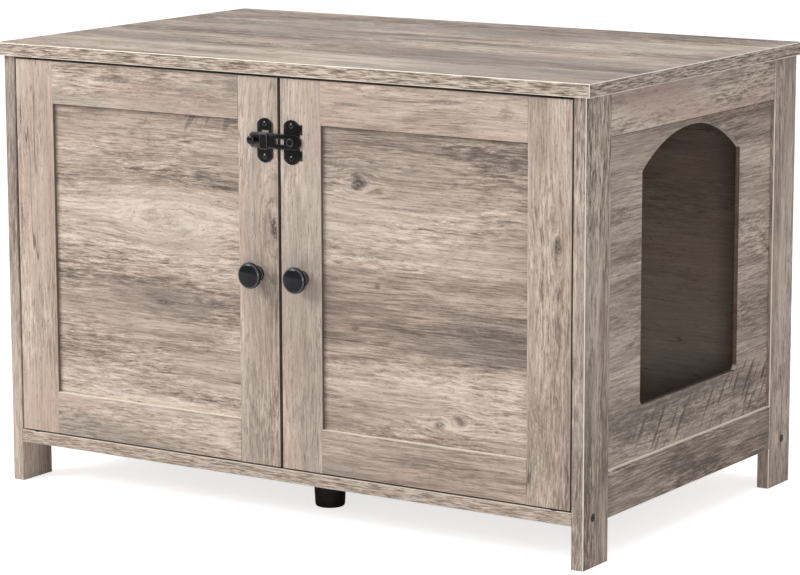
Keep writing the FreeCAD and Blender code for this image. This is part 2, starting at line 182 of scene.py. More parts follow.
def buildOak():
    tree, given, result = newGroup("weatheredOak", [
        ("Vector", "Vector", None), ("Edge Vector", "Vector", None), ("Tone", "Float", 0.5),
        ("Seed", "Float", 0.0), ("Pink", "Float", 0.4), ("Grey", "Float", 0.4), ("Knot", "Float", 0.0),
        ("Marks", "Float", 0.0), ("Edge", "Float", 0.0), ("Wear And Highlight", "Float", 0.0), ("Jamb Shade", "Float", 0.0),
        ("Contrast", "Float", 1.0), ("Rough", "Float", 1.0)],
        [("Color", "Color"), ("Roughness", "Float"), ("Height", "Float")])
    offset = combine(tree, *(times(tree, given["Seed"], shift) for shift in seedShift))
    base = vec(tree, "ADD", given["Vector"], offset)
    grain = base
    for name, reach in oakSway.items():
        sway = vec(tree, "SUBTRACT", noiseOutputs(tree, base, *oakNoises[name])["Color"], (0.5, 0.5, 0.5))
        grain = vec(tree, "ADD", grain, vec(tree, "MULTIPLY", sway, (0.0, reach * mm, reach * mm)))

    def layer(name, place):
        return noise(tree, place, *oakNoises[name])

    def shown(name, place):
        return ease(tree, layer(name, place), *oakLimits[name])

    fine = layer("fine", grain)
    pores = shown("pores", grain)
    roughShare = times(tree, given["Rough"], oakShares["rough"], shown("roughZone", base))
    layers = times(tree, minus(tree, layer("rough", grain), 0.5), roughShare)
    for name, value in (("broad", layer("broad", grain)), ("bands", layer("bands", grain)), ("fine", fine)):
        layers = plus(tree, layers, times(tree, minus(tree, value, 0.5), oakShares[name]))
    tone = plus(tree, given["Tone"], times(tree, layers, given["Contrast"]))
    colour = ramp(tree, tone, [(0.0, oakColours["dark"]), (0.28, oakColours["low"]),
                               (0.52, oakColours["middle"]), (0.78, oakColours["light"]),
                               (1.0, oakColours["pale"])])
    shifted = vec(tree, "ADD", base, ashShift)
    line = calc(tree, "ABSOLUTE", minus(tree, layer("crackLine", grain), 0.5))
    cracks = times(tree, ease(tree, line, *oakLimits["crackLine"]), shown("crackZone", shifted))
    scribble = layer("edgeBand", vec(tree, "ADD", given["Edge Vector"], offset))
    edgeColour = ramp(tree, scribble, [(0.41, edgeBandColours["brown"]), (0.5, edgeBandColours["middle"]),
                                       (0.58, edgeBandColours["fleck"])])
    coats = (
        (times(tree, given["Pink"], oakShares["pink"], shown("blush", base)), oakColours["pink"]),
        (times(tree, shown("ash", shifted), given["Grey"]), oakColours["grey"]),
        (times(tree, pores, oakShares["pores"]), oakColours["crack"]),
        (times(tree, cracks, oakShares["cracks"]), oakColours["crack"]),
        (given["Marks"], oakColours["saw"]), (given["Knot"], oakColours["knot"]),
        # the jamb colour is painted shade
        (given["Edge"], edgeColour), (given["Jamb Shade"], oakColours["jambShade"]),
        # the cream coat is a painted highlight, partly wear
        (given["Wear And Highlight"], oakColours["creamHighlight"]))
    for share, coat in coats:
        colour = mixColour(tree, share, colour, coat)
    tree.links.new(colour, result["Color"])
    tree.links.new(ease(tree, fine, *oakLimits["gloss"]), result["Roughness"])
    height = minus(tree, fine, times(tree, largest(tree, pores, cracks), oakShares["relief"]))
    tree.links.new(height, result["Height"])
    return tree


knotShape = {
    "outline": ((90.0, 160.0, 0.0),), "ragged": 0.5, "bend": 0.8, "coreLimits": (0.95, 0.2),
    "specks": ((230.0, 380.0, 0.0), 3.0, 0.7), "speckLimits": (0.38, 0.56, 0.42, 1.0),
    "ringTurns": 15.0, "ringLimits": (0.35, 0.95),
}


def buildKnot():
    tree, given, result = newGroup("oakKnot", [
        ("Vector", "Vector", None), ("Centre", "Vector", None), ("Length", "Float", 0.02),
        ("Width", "Float", 0.01), ("Core", "Float", 0.5), ("Rings", "Float", 0.3)],
        [("Vector", "Vector"), ("Mask", "Float")])
    place = given["Vector"]
    away = separate(tree, vec(tree, "SUBTRACT", place, given["Centre"]))
    scaled = combine(tree, calc(tree, "DIVIDE", away[0], given["Length"]),
                     calc(tree, "DIVIDE", away[1], given["Width"]))
    outline = minus(tree, noise(tree, place, *knotShape["outline"]), 0.5)
    reach = plus(tree, length(tree, scaled), times(tree, outline, knotShape["ragged"]))
    fall = calc(tree, "EXPONENT", times(tree, reach, reach, -0.5))
    push = combine(tree, 0.0, times(tree, fall, knotShape["bend"], away[1]))
    specks = ease(tree, noise(tree, place, *knotShape["specks"]), *knotShape["speckLimits"])
    core = times(tree, ease(tree, reach, *knotShape["coreLimits"]), given["Core"], specks)
    wave = calc(tree, "SINE", times(tree, reach, knotShape["ringTurns"]))
    rings = times(tree, ease(tree, wave, *knotShape["ringLimits"]), fall, given["Rings"])
    tree.links.new(vec(tree, "SUBTRACT", place, push), result["Vector"])
    tree.links.new(largest(tree, core, rings), result["Mask"])
    return tree


sawShape = {"alongStroke": 14.0, "zoneLimits": (1.0, 0.6), "strokeLimits": (0.55, 0.63)}


def buildSaw():
    tree, given, result = newGroup("sawMarks", [
        ("Vector", "Vector", None), ("Centre", "Vector", None), ("Half Length", "Float", 0.1),
        ("Half Width", "Float", 0.03), ("Angle", "Float", 1.0), ("Strokes", "Float", 90.0)],
        [("Mask", "Float")])
    away = vec(tree, "SUBTRACT", given["Vector"], given["Centre"])
    parts = separate(tree, away)
    scaled = combine(tree, calc(tree, "DIVIDE", parts[0], given["Half Length"]),
                     calc(tree, "DIVIDE", parts[1], given["Half Width"]))
    zone = ease(tree, length(tree, scaled), *sawShape["zoneLimits"])
    turned = put(tree, "ShaderNodeVectorRotate", {"Vector": away, "Angle": given["Angle"]},
                 rotation_type="Z_AXIS").outputs[0]
    marks = noise(tree, turned, combine(tree, sawShape["alongStroke"], given["Strokes"]))
    tree.links.new(times(tree, ease(tree, marks, *sawShape["strokeLimits"]), zone), result["Mask"])
    return tree


oakGroup, knotGroup, sawGroup = buildOak(), buildKnot(), buildSaw()

# a board's look, where its own dictionary says nothing else
# faces are named by their axis, with a sign where only one side is meant
plainBoard = {
    "tone": 0.55, "seed": 0.0, "pink": 0.4, "grey": 0.4, "contrast": 1.0, "paintedShade": 1.0,
    "edges": (), "edgeShare": 1.0,   # faces with edge band, and how clearly it shows
    "shadedJambs": (), "highlitLedges": (),       # faces with painted shade, dark brown where recesses and cut faces turn from the light, and up-facing ones with a painted cream highlight
    "wearAndHighlight": 0.5, "wornAndLitToward": None, "underShade": 0.0,  # pale arrises, partly wear and partly painted highlight, on one side only, and painted shade on the lower one
    "outside": None,                 # a face with a tone of its own
    "planks": None,                  # place across the grain in mm, tone, share of the rough layer
    "knots": (),                     # place along and across, half length and width in mm, core, rings
    "saws": (),                      # place, half length and width in mm, angle, strokes per metre, strength
}
boardFinish = {
    "arris": (1.1, 1.3), "oneSide": (0.3, 0.6), "lowerArrisShade": (-0.3, -0.6), "jambShadeShare": 0.8,
    "face": (0.8, 0.95), "endFace": (0.5, 0.6), "plankSway": (7.0, 30.0, 0.0), "swayReach": 0.014,
    "shadeColour": (0.016, 0.007, 0.002, 1.0), "mirror": 0.35, "bump": 0.35, "bumpDepth": 0.0003,
}


def facingMask(tree, normal, names):
    mask = 0.0
    for name in names:
        value = normal[name[-1]]
        if name[0] == "-":
            value = times(tree, value, -1.0)
        elif name[0] != "+":
            value = calc(tree, "ABSOLUTE", value)
        mask = largest(tree, mask, ease(tree, value, *boardFinish["face"]))
    return mask


def arrisMask(tree, facing, limits):
    return ease(tree, plus(tree, facing[0], facing[1], facing[2]), *limits)


def wearAndLightMasks(tree, normal, facing, look):
    # pale arrises are partly wear and partly a painted highlight where the chamfers would catch the light
    wornAndLit = times(tree, arrisMask(tree, facing, boardFinish["arris"]), look["wearAndHighlight"])
    # jamb faces get painted shade, a dark brown for the shadow in recesses and on cut faces
    jambShade = times(tree, facingMask(tree, normal, look["shadedJambs"]), boardFinish["jambShadeShare"])
    if look["wornAndLitToward"]:
        sign, axis = look["wornAndLitToward"]
        turned = times(tree, normal[axis], 1.0 if sign == "+" else -1.0)
        wornAndLit = times(tree, wornAndLit, ease(tree, turned, *boardFinish["oneSide"]))
    # arrises that face down get painted shade in place of the pale line
    if look["underShade"]:
        lower = ease(tree, normal["Z"], *boardFinish["lowerArrisShade"])
        wornAndLit = times(tree, wornAndLit, minus(tree, 1.0, lower))
        jambShade = largest(tree, jambShade, times(tree, lower, look["underShade"]))
    # up-facing ledges get a painted cream highlight
    return largest(tree, wornAndLit, facingMask(tree, normal, look["highlitLedges"])), jambShade


def markMasks(tree, spot, look):
    place, knotMask, sawMask = spot, 0.0, 0.0
    for centre, long, wide, core, rings in look["knots"]:
        knot = group(tree, knotGroup, {"Vector": spot, "Centre": tuple(v * mm for v in centre) + (0.0,),
                                       "Length": long * mm, "Width": wide * mm, "Core": core, "Rings": rings})
        if rings:  # only ringed knots bend the grain, the others are dark patches
            place = vec(tree, "ADD", place, vec(tree, "SUBTRACT", knot["Vector"], spot))
        knotMask = largest(tree, knotMask, knot["Mask"])
    for centre, long, wide, angle, strokes, strength in look["saws"]:
        saw = group(tree, sawGroup, {"Vector": spot, "Centre": tuple(v * mm for v in centre) + (0.0,),
                                     "Half Length": long * mm, "Half Width": wide * mm,
                                     "Angle": math.radians(angle), "Strokes": strokes})
        sawMask = largest(tree, sawMask, times(tree, saw["Mask"], strength))
    return place, knotMask, sawMask


def plankTones(tree, place, level, planks):
    low, high = planks[0][0] * mm, planks[-1][0] * mm
    sway = minus(tree, noise(tree, place, boardFinish["plankSway"]), 0.5)
    level = plus(tree, level, times(tree, sway, boardFinish["swayReach"]))
    share = put(tree, "ShaderNodeMapRange", {"Value": level, "From Min": low, "From Max": high}).outputs[0]
    stops = []
    for position, tone, *rough in planks:
        stops.append(((position * mm - low) / (high - low), (tone, rough[0] if rough else 1.0, 0.0, 1.0)))
    banded = put(tree, "ShaderNodeSeparateColor", {0: ramp(tree, share, stops)}).outputs
    return banded[0], banded[1]


def oakMaterial(name, along, across, **changes):
    look = {**plainBoard, **changes}
    material, tree, shader = newMaterial(name)
    coordinates = put(tree, "ShaderNodeTexCoord").outputs
    xyz = separate(tree, coordinates["Object"])
    normal = separate(tree, coordinates["Normal"])
    facing = separate(tree, vec(tree, "ABSOLUTE", coordinates["Normal"]))
    third = ({"X", "Y", "Z"} - {along, across}).pop()
    spot = combine(tree, xyz[along], xyz[across], xyz[third])
    edgeSpot = spot
    if "X" in look["edges"]:  # the band at a board's ends runs the other way
        endShare = ease(tree, facing["X"], *boardFinish["endFace"])
        endSpot = combine(tree, xyz["Y"], xyz["Z"], xyz["X"])
        edgeSpot = put(tree, "ShaderNodeMix", {0: endShare, 4: spot, 5: endSpot},
                       data_type="VECTOR").outputs[1]
    place, knotMask, sawMask = markMasks(tree, spot, look)
    wornAndLit, jambShade = wearAndLightMasks(tree, normal, facing, look)
    edge = times(tree, facingMask(tree, normal, look["edges"]), look["edgeShare"])
    tone, rough = look["tone"], 1.0
    if look["planks"]:
        tone, rough = plankTones(tree, place, xyz[across], look["planks"])
    if look["outside"]:
        face, outerTone = look["outside"]
        outer = facingMask(tree, normal, (face,))
        tone = plus(tree, times(tree, outer, outerTone), times(tree, tone, minus(tree, 1.0, outer)))
    oak = group(tree, oakGroup, {
        "Vector": place, "Edge Vector": edgeSpot, "Tone": tone, "Seed": look["seed"], "Pink": look["pink"],
        "Grey": look["grey"], "Knot": knotMask, "Marks": sawMask, "Edge": edge, "Wear And Highlight": wornAndLit, "Jamb Shade": jambShade,
        "Contrast": look["contrast"], "Rough": rough})
    colour = oak["Color"]
    # painted shade: mixes the whole colour toward a dark brown
    if look["paintedShade"] < 1.0:
        colour = mixColour(tree, 1.0 - look["paintedShade"], colour, boardFinish["shadeColour"])
    tree.links.new(colour, shader.inputs["Base Color"])
    tree.links.new(oak["Roughness"], shader.inputs["Roughness"])
    shader.inputs["Specular IOR Level"].default_value = boardFinish["mirror"]
    bump = put(tree, "ShaderNodeBump", {"Height": oak["Height"], "Strength": boardFinish["bump"],
                                        "Distance": boardFinish["bumpDepth"]})
    tree.links.new(bump.outputs[0], shader.inputs["Normal"])
    return material


def coverMesh(mesh, material):
    mesh.materials.clear()
    mesh.materials.append(material)
    for face in mesh.polygons:
        face.material_index = 0


def dress(node, material):
    coverMesh(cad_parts[node].data, material)


def addObject(name, data):
    thing = bpy.data.objects.new(name, data)
    bpy.context.scene.collection.objects.link(thing)
    return thing


# camera, from the corners of the photographed cabinet
cameraView = {"place": (2.0551, -3.1472, 0.917), "turn": (79.712, 0.134, 33.037), "lens": 145.49,
              "sensor": 36.0, "farthest": 100.0}
cameraData = bpy.data.cameras.new("photoCamera")
cameraData.sensor_width = cameraView["sensor"]
cameraData.lens = cameraView["lens"]
cameraData.clip_end = cameraView["farthest"]
camera = addObject("photoCamera", cameraData)
camera.location = cameraView["place"]
camera.rotation_euler = tuple(math.radians(a) for a in cameraView["turn"])
bpy.context.scene.camera = camera
print("camera set")

# lamps, world and floor
lamps = {
    "keyLamp": {"place": (-2.2, -2.7, 2.3), "size": 1.7, "power": 84.0, "aim": (0.0, 0.0, 0.25)},
    "fillLamp": {"place": (2.6, -3.5, 0.7), "size": 0.8, "power": 23.5, "aim": (0.2, 0.0, 0.25)},
    "topLamp": {"place": (0.8, 0.2, 3.2), "size": 2.4, "power": 25.0, "aim": (0.0, 0.0, 0.4)},
}
for name, lamp in lamps.items():
    data = bpy.data.lights.new(name, "AREA")
    data.shape = "SQUARE"
    data.size = lamp["size"]
    data.energy = lamp["power"]
    holder = addObject(name, data)
    holder.location = lamp["place"]
    holder.rotation_euler = (Vector(lamp["aim"]) - Vector(lamp["place"])).to_track_quat("-Z", "Y").to_euler()

white = (1.0, 1.0, 1.0, 1.0)
studio = {"ambient": 0.45, "glossy": 0.4, "floorGlow": 0.72, "floorColour": (0.82, 0.82, 0.82, 1.0),
          "floorRoughness": 0.9, "floorReach": 25}
world = bpy.data.worlds.new("studio")
bpy.context.scene.world = world
world.use_nodes = True
tree = world.node_tree
path = put(tree, "ShaderNodeLightPath").outputs
mirrored = times(tree, path["Is Glossy Ray"], studio["glossy"])
strength = largest(tree, path["Is Camera Ray"], mirrored, studio["ambient"])
tree.links.new(strength, tree.nodes["Background"].inputs["Strength"])
tree.nodes["Background"].inputs["Color"].default_value = white

far = studio["floorReach"]
floorMesh = bpy.data.meshes.new("floor")
floorMesh.from_pydata([(-far, -far, 0), (far, -far, 0), (far, far, 0), (-far, far, 0)], [], [(0, 1, 2, 3)])
floor = addObject("floor", floorMesh)
floorPaint, tree, shader = newMaterial("paleFloor")
shader.inputs["Base Color"].default_value = studio["floorColour"]
shader.inputs["Roughness"].default_value = studio["floorRoughness"]
shader.inputs["Emission Color"].default_value = white
path = put(tree, "ShaderNodeLightPath").outputs
tree.links.new(times(tree, path["Is Camera Ray"], studio["floorGlow"]), shader.inputs["Emission Strength"])
floorMesh.materials.append(floorPaint)
print("studio ready")

# top, floor board and back
topBoard = {
    "seed": 3.0, "pink": 0.2, "grey": 0.5, "contrast": 1.9, "wearAndHighlight": 1.0, "edges": ("X", "-Y"),
    "planks": [(-243, 0.58), (-190, 0.67), (-150, 0.65), (-120, 0.48), (-70, 0.52), (-20, 0.64), (30, 0.4),
               (90, 0.5), (150, 0.62), (200, 0.48), (257, 0.54)],
    "knots": [((-119.0, -24.0), 66.0, 11.0, 0.5, 0.0), ((72.0, -203.0), 52.0, 6.0, 0.5, 0.0),
              ((-238.0, -63.0), 60.0, 8.0, 0.45, 0.0), ((40.0, 40.0), 120.0, 18.0, 0.35, 0.0),
              ((210.0, 120.0), 90.0, 14.0, 0.4, 0.0)],
}
dress("top_panel", oakMaterial("topOak", "X", "Y", **topBoard))
floorBoard = {"tone": 0.5, "seed": 8.0, "edges": ("-Y",), "edgeShare": 0.8}
dress("bottom_panel", oakMaterial("floorOak", "X", "Y", **floorBoard))
backBoard = {  # painted shade: darkened all over, and more toward the top, for the shade inside the cabinet; the outer face keeps a tone of its own
    "seed": 47.0, "pink": 0.5, "grey": 0.0, "contrast": 0.6, "paintedShade": 0.8, "outside": ("+Y", 0.6),
    "planks": [(60, 0.95), (150, 0.9), (250, 0.55), (340, 0.38), (390, 0.14), (480, 0.02)],
}
dress("back_panel", oakMaterial("backOak", "X", "Z", **backBoard))

# side frames
legSeeds = {"front_left_leg": 21.0, "rear_left_leg": 22.5, "front_right_leg": 24.0, "rear_right_leg": 26.0}
legLook = {"tone": 0.46, "pink": 0.25, "grey": 0.3, "edgeShare": 0.35, "contrast": 1.8}
# a darker patch low on the front right leg
lowLegDarkPatch = ((95.0, -228.0), 130.0, 34.0, 0.3, 0.0)
for node, seed in legSeeds.items():
    ahead, right = "front" in node, "right" in node
    # the pale arris line, partly painted highlight, shows on one side only
    sideLook = {"wearAndHighlight": 1.0, "wornAndLitToward": "+X"} if right else {"wearAndHighlight": 0.5, "wornAndLitToward": "-X"}
    dress(node, oakMaterial(node + "Oak", "Z", "Y", seed=seed, edges=("-Y" if ahead else "+Y",),
                            knots=(lowLegDarkPatch,) if ahead and right else (), **legLook, **sideLook))
sideRails = {
    "left_top_rail": {"tone": 0.5, "seed": 31.0, "pink": 0.9, "underShade": 1.0},
    "left_bottom_rail": {"tone": 0.45, "seed": 32.0, "pink": 0.3, "highlitLedges": ("+Z",)},
    "right_top_rail": {"tone": 0.64, "seed": 33.0, "pink": 0.9, "underShade": 1.0},
    "right_bottom_rail": {"tone": 0.2, "seed": 34.0, "pink": 0.3, "highlitLedges": ("+Z",)},
}
for node, look in sideRails.items():
    dress(node, oakMaterial(node + "Oak", "Y", "Z", grey=0.25, contrast=1.9, **look))
dress("left_side_panel", oakMaterial("leftPanelOak", "Y", "Z", tone=0.52, seed=41.0))
entrancePanel = {
    "seed": 43.0, "pink": 0.2, "grey": 0.35, "contrast": 1.6, "shadedJambs": ("Y", "Z"),
    "planks": [(100, 0.5), (150, 0.34), (200, 0.52), (300, 0.49), (380, 0.6), (470, 0.54)],
    "saws": [((50.0, 126.0), 210.0, 42.0, -54.0, 150.0, 0.75),
             ((150.0, 142.0), 70.0, 34.0, -54.0, 110.0, 0.8)],
    "knots": [((-150.0, 324.0), 60.0, 9.0, 0.3, 0.0), ((120.0, 330.0), 60.0, 12.0, 0.3, 0.0),
              ((150.0, 138.0), 52.0, 24.0, 0.55, 0.0), ((10.0, 128.0), 26.0, 15.0, 0.4, 0.0),
              ((-130.0, 122.0), 30.0, 9.0, 0.35, 0.0)],
}
dress("right_side_panel", oakMaterial("rightPanelOak", "Y", "Z", **entrancePanel))

# doors
stileLook = {"tone": 0.57, "grey": 0.35, "shadedJambs": ("X",), "wearAndHighlight": 0.3, "contrast": 1.2}
stiles = {
    "left_door_outer_stile": {"tone": 0.66, "seed": 51.0, "pink": 0.6, "knots": [
        ((442.0, -369.5), 30.0, 1.7, 0.9, 0.0), ((398.0, -371.0), 22.0, 1.8, 0.7, 0.0),
        ((324.0, -370.5), 30.0, 2.0, 0.8, 0.0), ((396.0, -350.0), 40.0, 4.0, 0.25, 0.0)]},
    "left_door_inner_stile": {"seed": 53.5, "pink": 0.35, "knots": [
        ((338.0, -9.0), 62.0, 19.0, 0.0, 0.4), ((338.0, -7.0), 24.0, 9.5, 1.0, 0.0),
        ((338.0, -9.0), 34.0, 15.0, 0.3, 0.0), ((350.0, -13.0), 14.0, 5.0, 0.7, 0.0),
        ((322.0, -14.0), 8.0, 4.0, 0.5, 0.0)]},
    "right_door_inner_stile": {"seed": 55.0, "pink": 0.35, "knots": [((455.0, 12.0), 16.0, 2.0, 0.6, 0.0)]},
    "right_door_outer_stile": {"tone": 0.5, "seed": 57.0, "pink": 0.3, "knots": [
        ((350.0, 359.0), 17.0, 7.5, 1.0, 0.3), ((376.0, 352.0), 16.0, 8.0, 0.3, 0.15),
        ((140.0, 335.0), 100.0, 30.0, 0.4, 0.0)]},
}
railLook = {"tone": 0.52, "grey": 0.4, "wearAndHighlight": 0.4, "contrast": 1.25}
rails = {
    "left_door_top_rail": {"underShade": 0.9, "seed": 61.0, "pink": 0.75, "knots": [
        ((-229.0, 491.0), 44.0, 8.0, 0.6, 0.0), ((-58.0, 493.0), 26.0, 12.0, 0.4, 0.0),
        ((-140.0, 486.0), 70.0, 7.0, 0.3, 0.0)]},
    "left_door_bottom_rail": {"seed": 62.0, "pink": 0.4, "highlitLedges": ("+Z",)},
    "right_door_top_rail": {"underShade": 0.9, "seed": 63.5, "pink": 0.45, "knots": [
        ((91.0, 483.0), 32.0, 3.5, 0.6, 0.0), ((218.0, 494.0), 38.0, 4.0, 0.5, 0.0),
        ((295.0, 487.0), 13.0, 13.0, 0.4, 0.0)]},
    "right_door_bottom_rail": {"seed": 64.0, "pink": 0.3, "highlitLedges": ("+Z",)},
}
panelLook = {"pink": 0.2, "grey": 0.3, "contrast": 1.3}
panels = {
    "left_door_panel": {
        "seed": 71.0,
        "planks": [(110, 0.62), (150, 0.52), (180, 0.42), (205, 0.58), (235, 0.4), (262, 0.38), (268, 0.66),
                   (300, 0.6), (330, 0.62), (368, 0.62), (373, 0.4), (400, 0.5), (430, 0.42), (462, 0.38)],
        "knots": [((-152.0, 335.0), 66.0, 25.0, 0.0, 0.16), ((-168.0, 238.0), 12.0, 6.0, 0.8, 0.1),
                  ((-230.0, 258.0), 60.0, 9.0, 0.3, 0.0), ((-104.0, 205.0), 70.0, 14.0, 0.3, 0.0),
                  ((-85.0, 377.0), 70.0, 3.5, 0.7, 0.0), ((-189.0, 142.0), 60.0, 10.0, 0.3, 0.0),
                  ((-150.0, 330.0), 20.0, 7.0, 0.3, 0.0), ((-215.0, 405.0), 50.0, 8.0, 0.3, 0.0),
                  ((-97.0, 386.0), 44.0, 11.0, 0.3, 0.0)],
        "saws": [((-130.0, 452.0), 120.0, 18.0, -60.0, 80.0, 0.5)],
    },
    "right_door_panel": {
        "seed": 75.0,
        "planks": [(110, 0.58), (150, 0.64), (190, 0.56), (213, 0.36, 0.35), (250, 0.33, 0.2),
                   (301, 0.42, 0.25), (306, 0.62), (340, 0.68), (385, 0.64), (405, 0.42), (430, 0.4),
                   (462, 0.38)],
        "knots": [((103.0, 396.0), 15.0, 12.0, 0.95, 0.12), ((130.0, 389.0), 9.0, 6.0, 0.5, 0.0),
                  ((208.0, 137.0), 12.0, 8.0, 0.8, 0.1), ((237.0, 144.0), 14.0, 9.0, 0.5, 0.2),
                  ((222.0, 122.0), 46.0, 12.0, 0.35, 0.0), ((75.0, 306.0), 12.0, 4.0, 0.6, 0.0),
                  ((270.0, 250.0), 110.0, 34.0, 0.35, 0.0), ((120.0, 316.0), 70.0, 4.0, 0.5, 0.0),
                  ((283.0, 424.0), 60.0, 10.0, 0.4, 0.0), ((127.0, 284.0), 7.0, 5.0, 0.7, 0.0),
                  ((215.0, 268.0), 60.0, 2.2, 0.7, 0.0), ((300.0, 262.0), 60.0, 2.2, 0.7, 0.0),
                  ((98.0, 234.0), 8.0, 5.0, 0.6, 0.0), ((275.0, 210.0), 60.0, 3.0, 0.6, 0.0),
                  ((170.0, 372.0), 70.0, 3.0, 0.5, 0.0), ((150.0, 165.0), 60.0, 2.0, 0.5, 0.0)],
        "saws": [((72.0, 414.0), 26.0, 9.0, -82.0, 620.0, 0.4)],
    },
}
for pieces, shared, axes in ((stiles, stileLook, "ZX"), (rails, railLook, "XZ"), (panels, panelLook, "XZ")):
    for node, look in pieces.items():
        dress(node, oakMaterial(node + "Oak", *axes, **{**shared, **look}))
print("boards dressed")

# hardware coats, each with a mirror share and, on some, a painted highlight: a glint on its edges or a pale
# ring round its rim
coats = {
    "knobEnamel": {"colour": (0.003, 0.003, 0.005), "roughness": 0.16, "clear": 0.25, "mirror": 0.24,
                   "rimHighlight": (0.09, 0.09, 0.1, 1.0)},
    "latchEnamel": {"colour": (0.003, 0.0025, 0.003), "roughness": 0.3, "mirror": 0.14,
                    "glint": (0.16, 0.15, 0.15, 1.0)},
    "plateScrewEnamel": {"colour": (0.045, 0.042, 0.042), "roughness": 0.22, "mirror": 0.5, "metallic": 1.0},
    # partly painted shade: darkens the flush leg screw heads into a shadowed countersink ring, and the pivot
    # pins in the door gap
    "darkSteelWithShade": {"colour": (0.03, 0.024, 0.02), "roughness": 0.45},
    "footPlastic": {"colour": (0.008, 0.006, 0.006), "roughness": 0.45, "grain": 1500.0,
                    "bumpDepth": 0.00006},
    "screwSteel": {"colour": (0.1, 0.085, 0.07), "roughness": 0.3, "mirror": 0.5, "metallic": 1.0},
    "platedSteel": {"colour": (0.5, 0.5, 0.52), "roughness": 0.3, "mirror": 0.5, "metallic": 1.0},
    "nylon": {"colour": (0.012, 0.01, 0.01), "roughness": 0.5},
    "catchPlastic": {"colour": (0.06, 0.04, 0.03), "roughness": 0.45},
    "ferrite": {"colour": (0.02, 0.02, 0.022), "roughness": 0.6},
}
coatWear = {
    "dust": ((60.0, 60.0, 60.0), 3.0), "dustLimits": (0.35, 0.8), "dustGain": 1.9, "dustLift": 0.004,
    "glintArris": (1.12, 1.36), "glintDust": (0.35, 0.6, 0.3, 1.0), "rimInner": (0.9, 0.8),
    "rimOuter": (0.58, 0.68), "mattLimits": (0.2, 0.8), "smooth": 0.85, "matt": 1.25,
    "clearRoughness": 0.08, "bump": 0.3,
}


def coatMaterial(name, colour, roughness, clear=0.0, mirror=0.3, metallic=0.0, grain=700.0, bumpDepth=0.00004,
                 glint=None, rimHighlight=None):
    material, tree, shader = newMaterial(name)
    coordinates = put(tree, "ShaderNodeTexCoord").outputs
    facing = separate(tree, vec(tree, "ABSOLUTE", coordinates["Normal"]))
    skin = noise(tree, coordinates["Object"], (grain, grain, grain))
    dust = noise(tree, coordinates["Object"], *coatWear["dust"])
    lighter = tuple(min(c * coatWear["dustGain"] + coatWear["dustLift"], 1.0) for c in colour) + (1.0,)
    shown = mixColour(tree, ease(tree, dust, *coatWear["dustLimits"]), colour + (1.0,), lighter)
    if glint:  # painted highlight: pale glints on the edges, broken up by the dust
        paintedGlint = times(tree, arrisMask(tree, facing, coatWear["glintArris"]),
                       ease(tree, dust, *coatWear["glintDust"]))
        shown = mixColour(tree, paintedGlint, shown, glint)
    if rimHighlight:  # painted highlight: a pale ring where the knob's face turns down to its bevel
        rimHighlightMask = times(tree, ease(tree, facing["Y"], *coatWear["rimOuter"]),
                     ease(tree, facing["Y"], *coatWear["rimInner"]))
        shown = mixColour(tree, rimHighlightMask, shown, rimHighlight)
    tree.links.new(shown, shader.inputs["Base Color"])
    spread = ease(tree, dust, *coatWear["mattLimits"], roughness * coatWear["smooth"],
                  roughness * coatWear["matt"])
    tree.links.new(spread, shader.inputs["Roughness"])
    shader.inputs["Metallic"].default_value = metallic
    shader.inputs["Coat Weight"].default_value = clear
    shader.inputs["Coat Roughness"].default_value = coatWear["clearRoughness"]
    shader.inputs["Specular IOR Level"].default_value = mirror
    bump = put(tree, "ShaderNodeBump", {"Height": skin, "Strength": coatWear["bump"], "Distance": bumpDepth})
    tree.links.new(bump.outputs[0], shader.inputs["Normal"])
    return material


coated = {name: coatMaterial(name, **look) for name, look in coats.items()}
coatedNodes = {
    "upper_pivot_bushes": "nylon", "lower_pivot_bushes": "nylon", "catch_housing": "catchPlastic",
    "catch_magnets": "ferrite", "left_pivot_pins": "darkSteelWithShade", "right_pivot_pins": "darkSteelWithShade",
    "left_strike_plate": "platedSteel", "right_strike_plate": "platedSteel", "leg_screws": "darkSteelWithShade",
}
for node, coat in coatedNodes.items():
    dress(node, coated[coat])
dress("top_dowels", oakMaterial("dowelBeech", "Z", "X", tone=0.7, seed=81.0, pink=0.2, grey=0.0))


def finishPiece(name, mesh, material, body, replaced=(), sharp=35.0):
    coverMesh(mesh, material)
    mesh.shade_smooth()
    mesh.set_sharp_from_angle(angle=math.radians(sharp))
    piece = addObject(name, mesh)
    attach(piece, body)
    if replaced:
        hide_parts(*replaced)
    return piece


def bakedMesh(name, holder):
    mesh = bpy.data.meshes.new_from_object(holder.evaluated_get(bpy.context.evaluated_depsgraph_get()))
    bpy.data.objects.remove(holder)
    mesh.name = name
    return mesh


softening = {"weld": 0.002, "flatAngle": 1.0, "edgeAngle": 35.0, "segments": 3}


def roundedCopy(name, node, body, material, width):
    build = bmesh.new()
    build.from_mesh(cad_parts[node].data)
    bmesh.ops.remove_doubles(build, verts=build.verts, dist=softening["weld"] * mm)
    bmesh.ops.dissolve_limit(build, angle_limit=math.radians(softening["flatAngle"]), verts=build.verts,
                             edges=build.edges)
    draft = bpy.data.meshes.new(name + "Draft")
    build.to_mesh(draft)
    build.free()
    holder = addObject(name + "Draft", draft)
    bevel = holder.modifiers.new("soften", "BEVEL")
    bevel.width = width * mm
    bevel.segments = softening["segments"]
    bevel.limit_method = "ANGLE"
    bevel.angle_limit = math.radians(softening["edgeAngle"])
    return finishPiece(name, bakedMesh(name, holder), material, body, (node,))


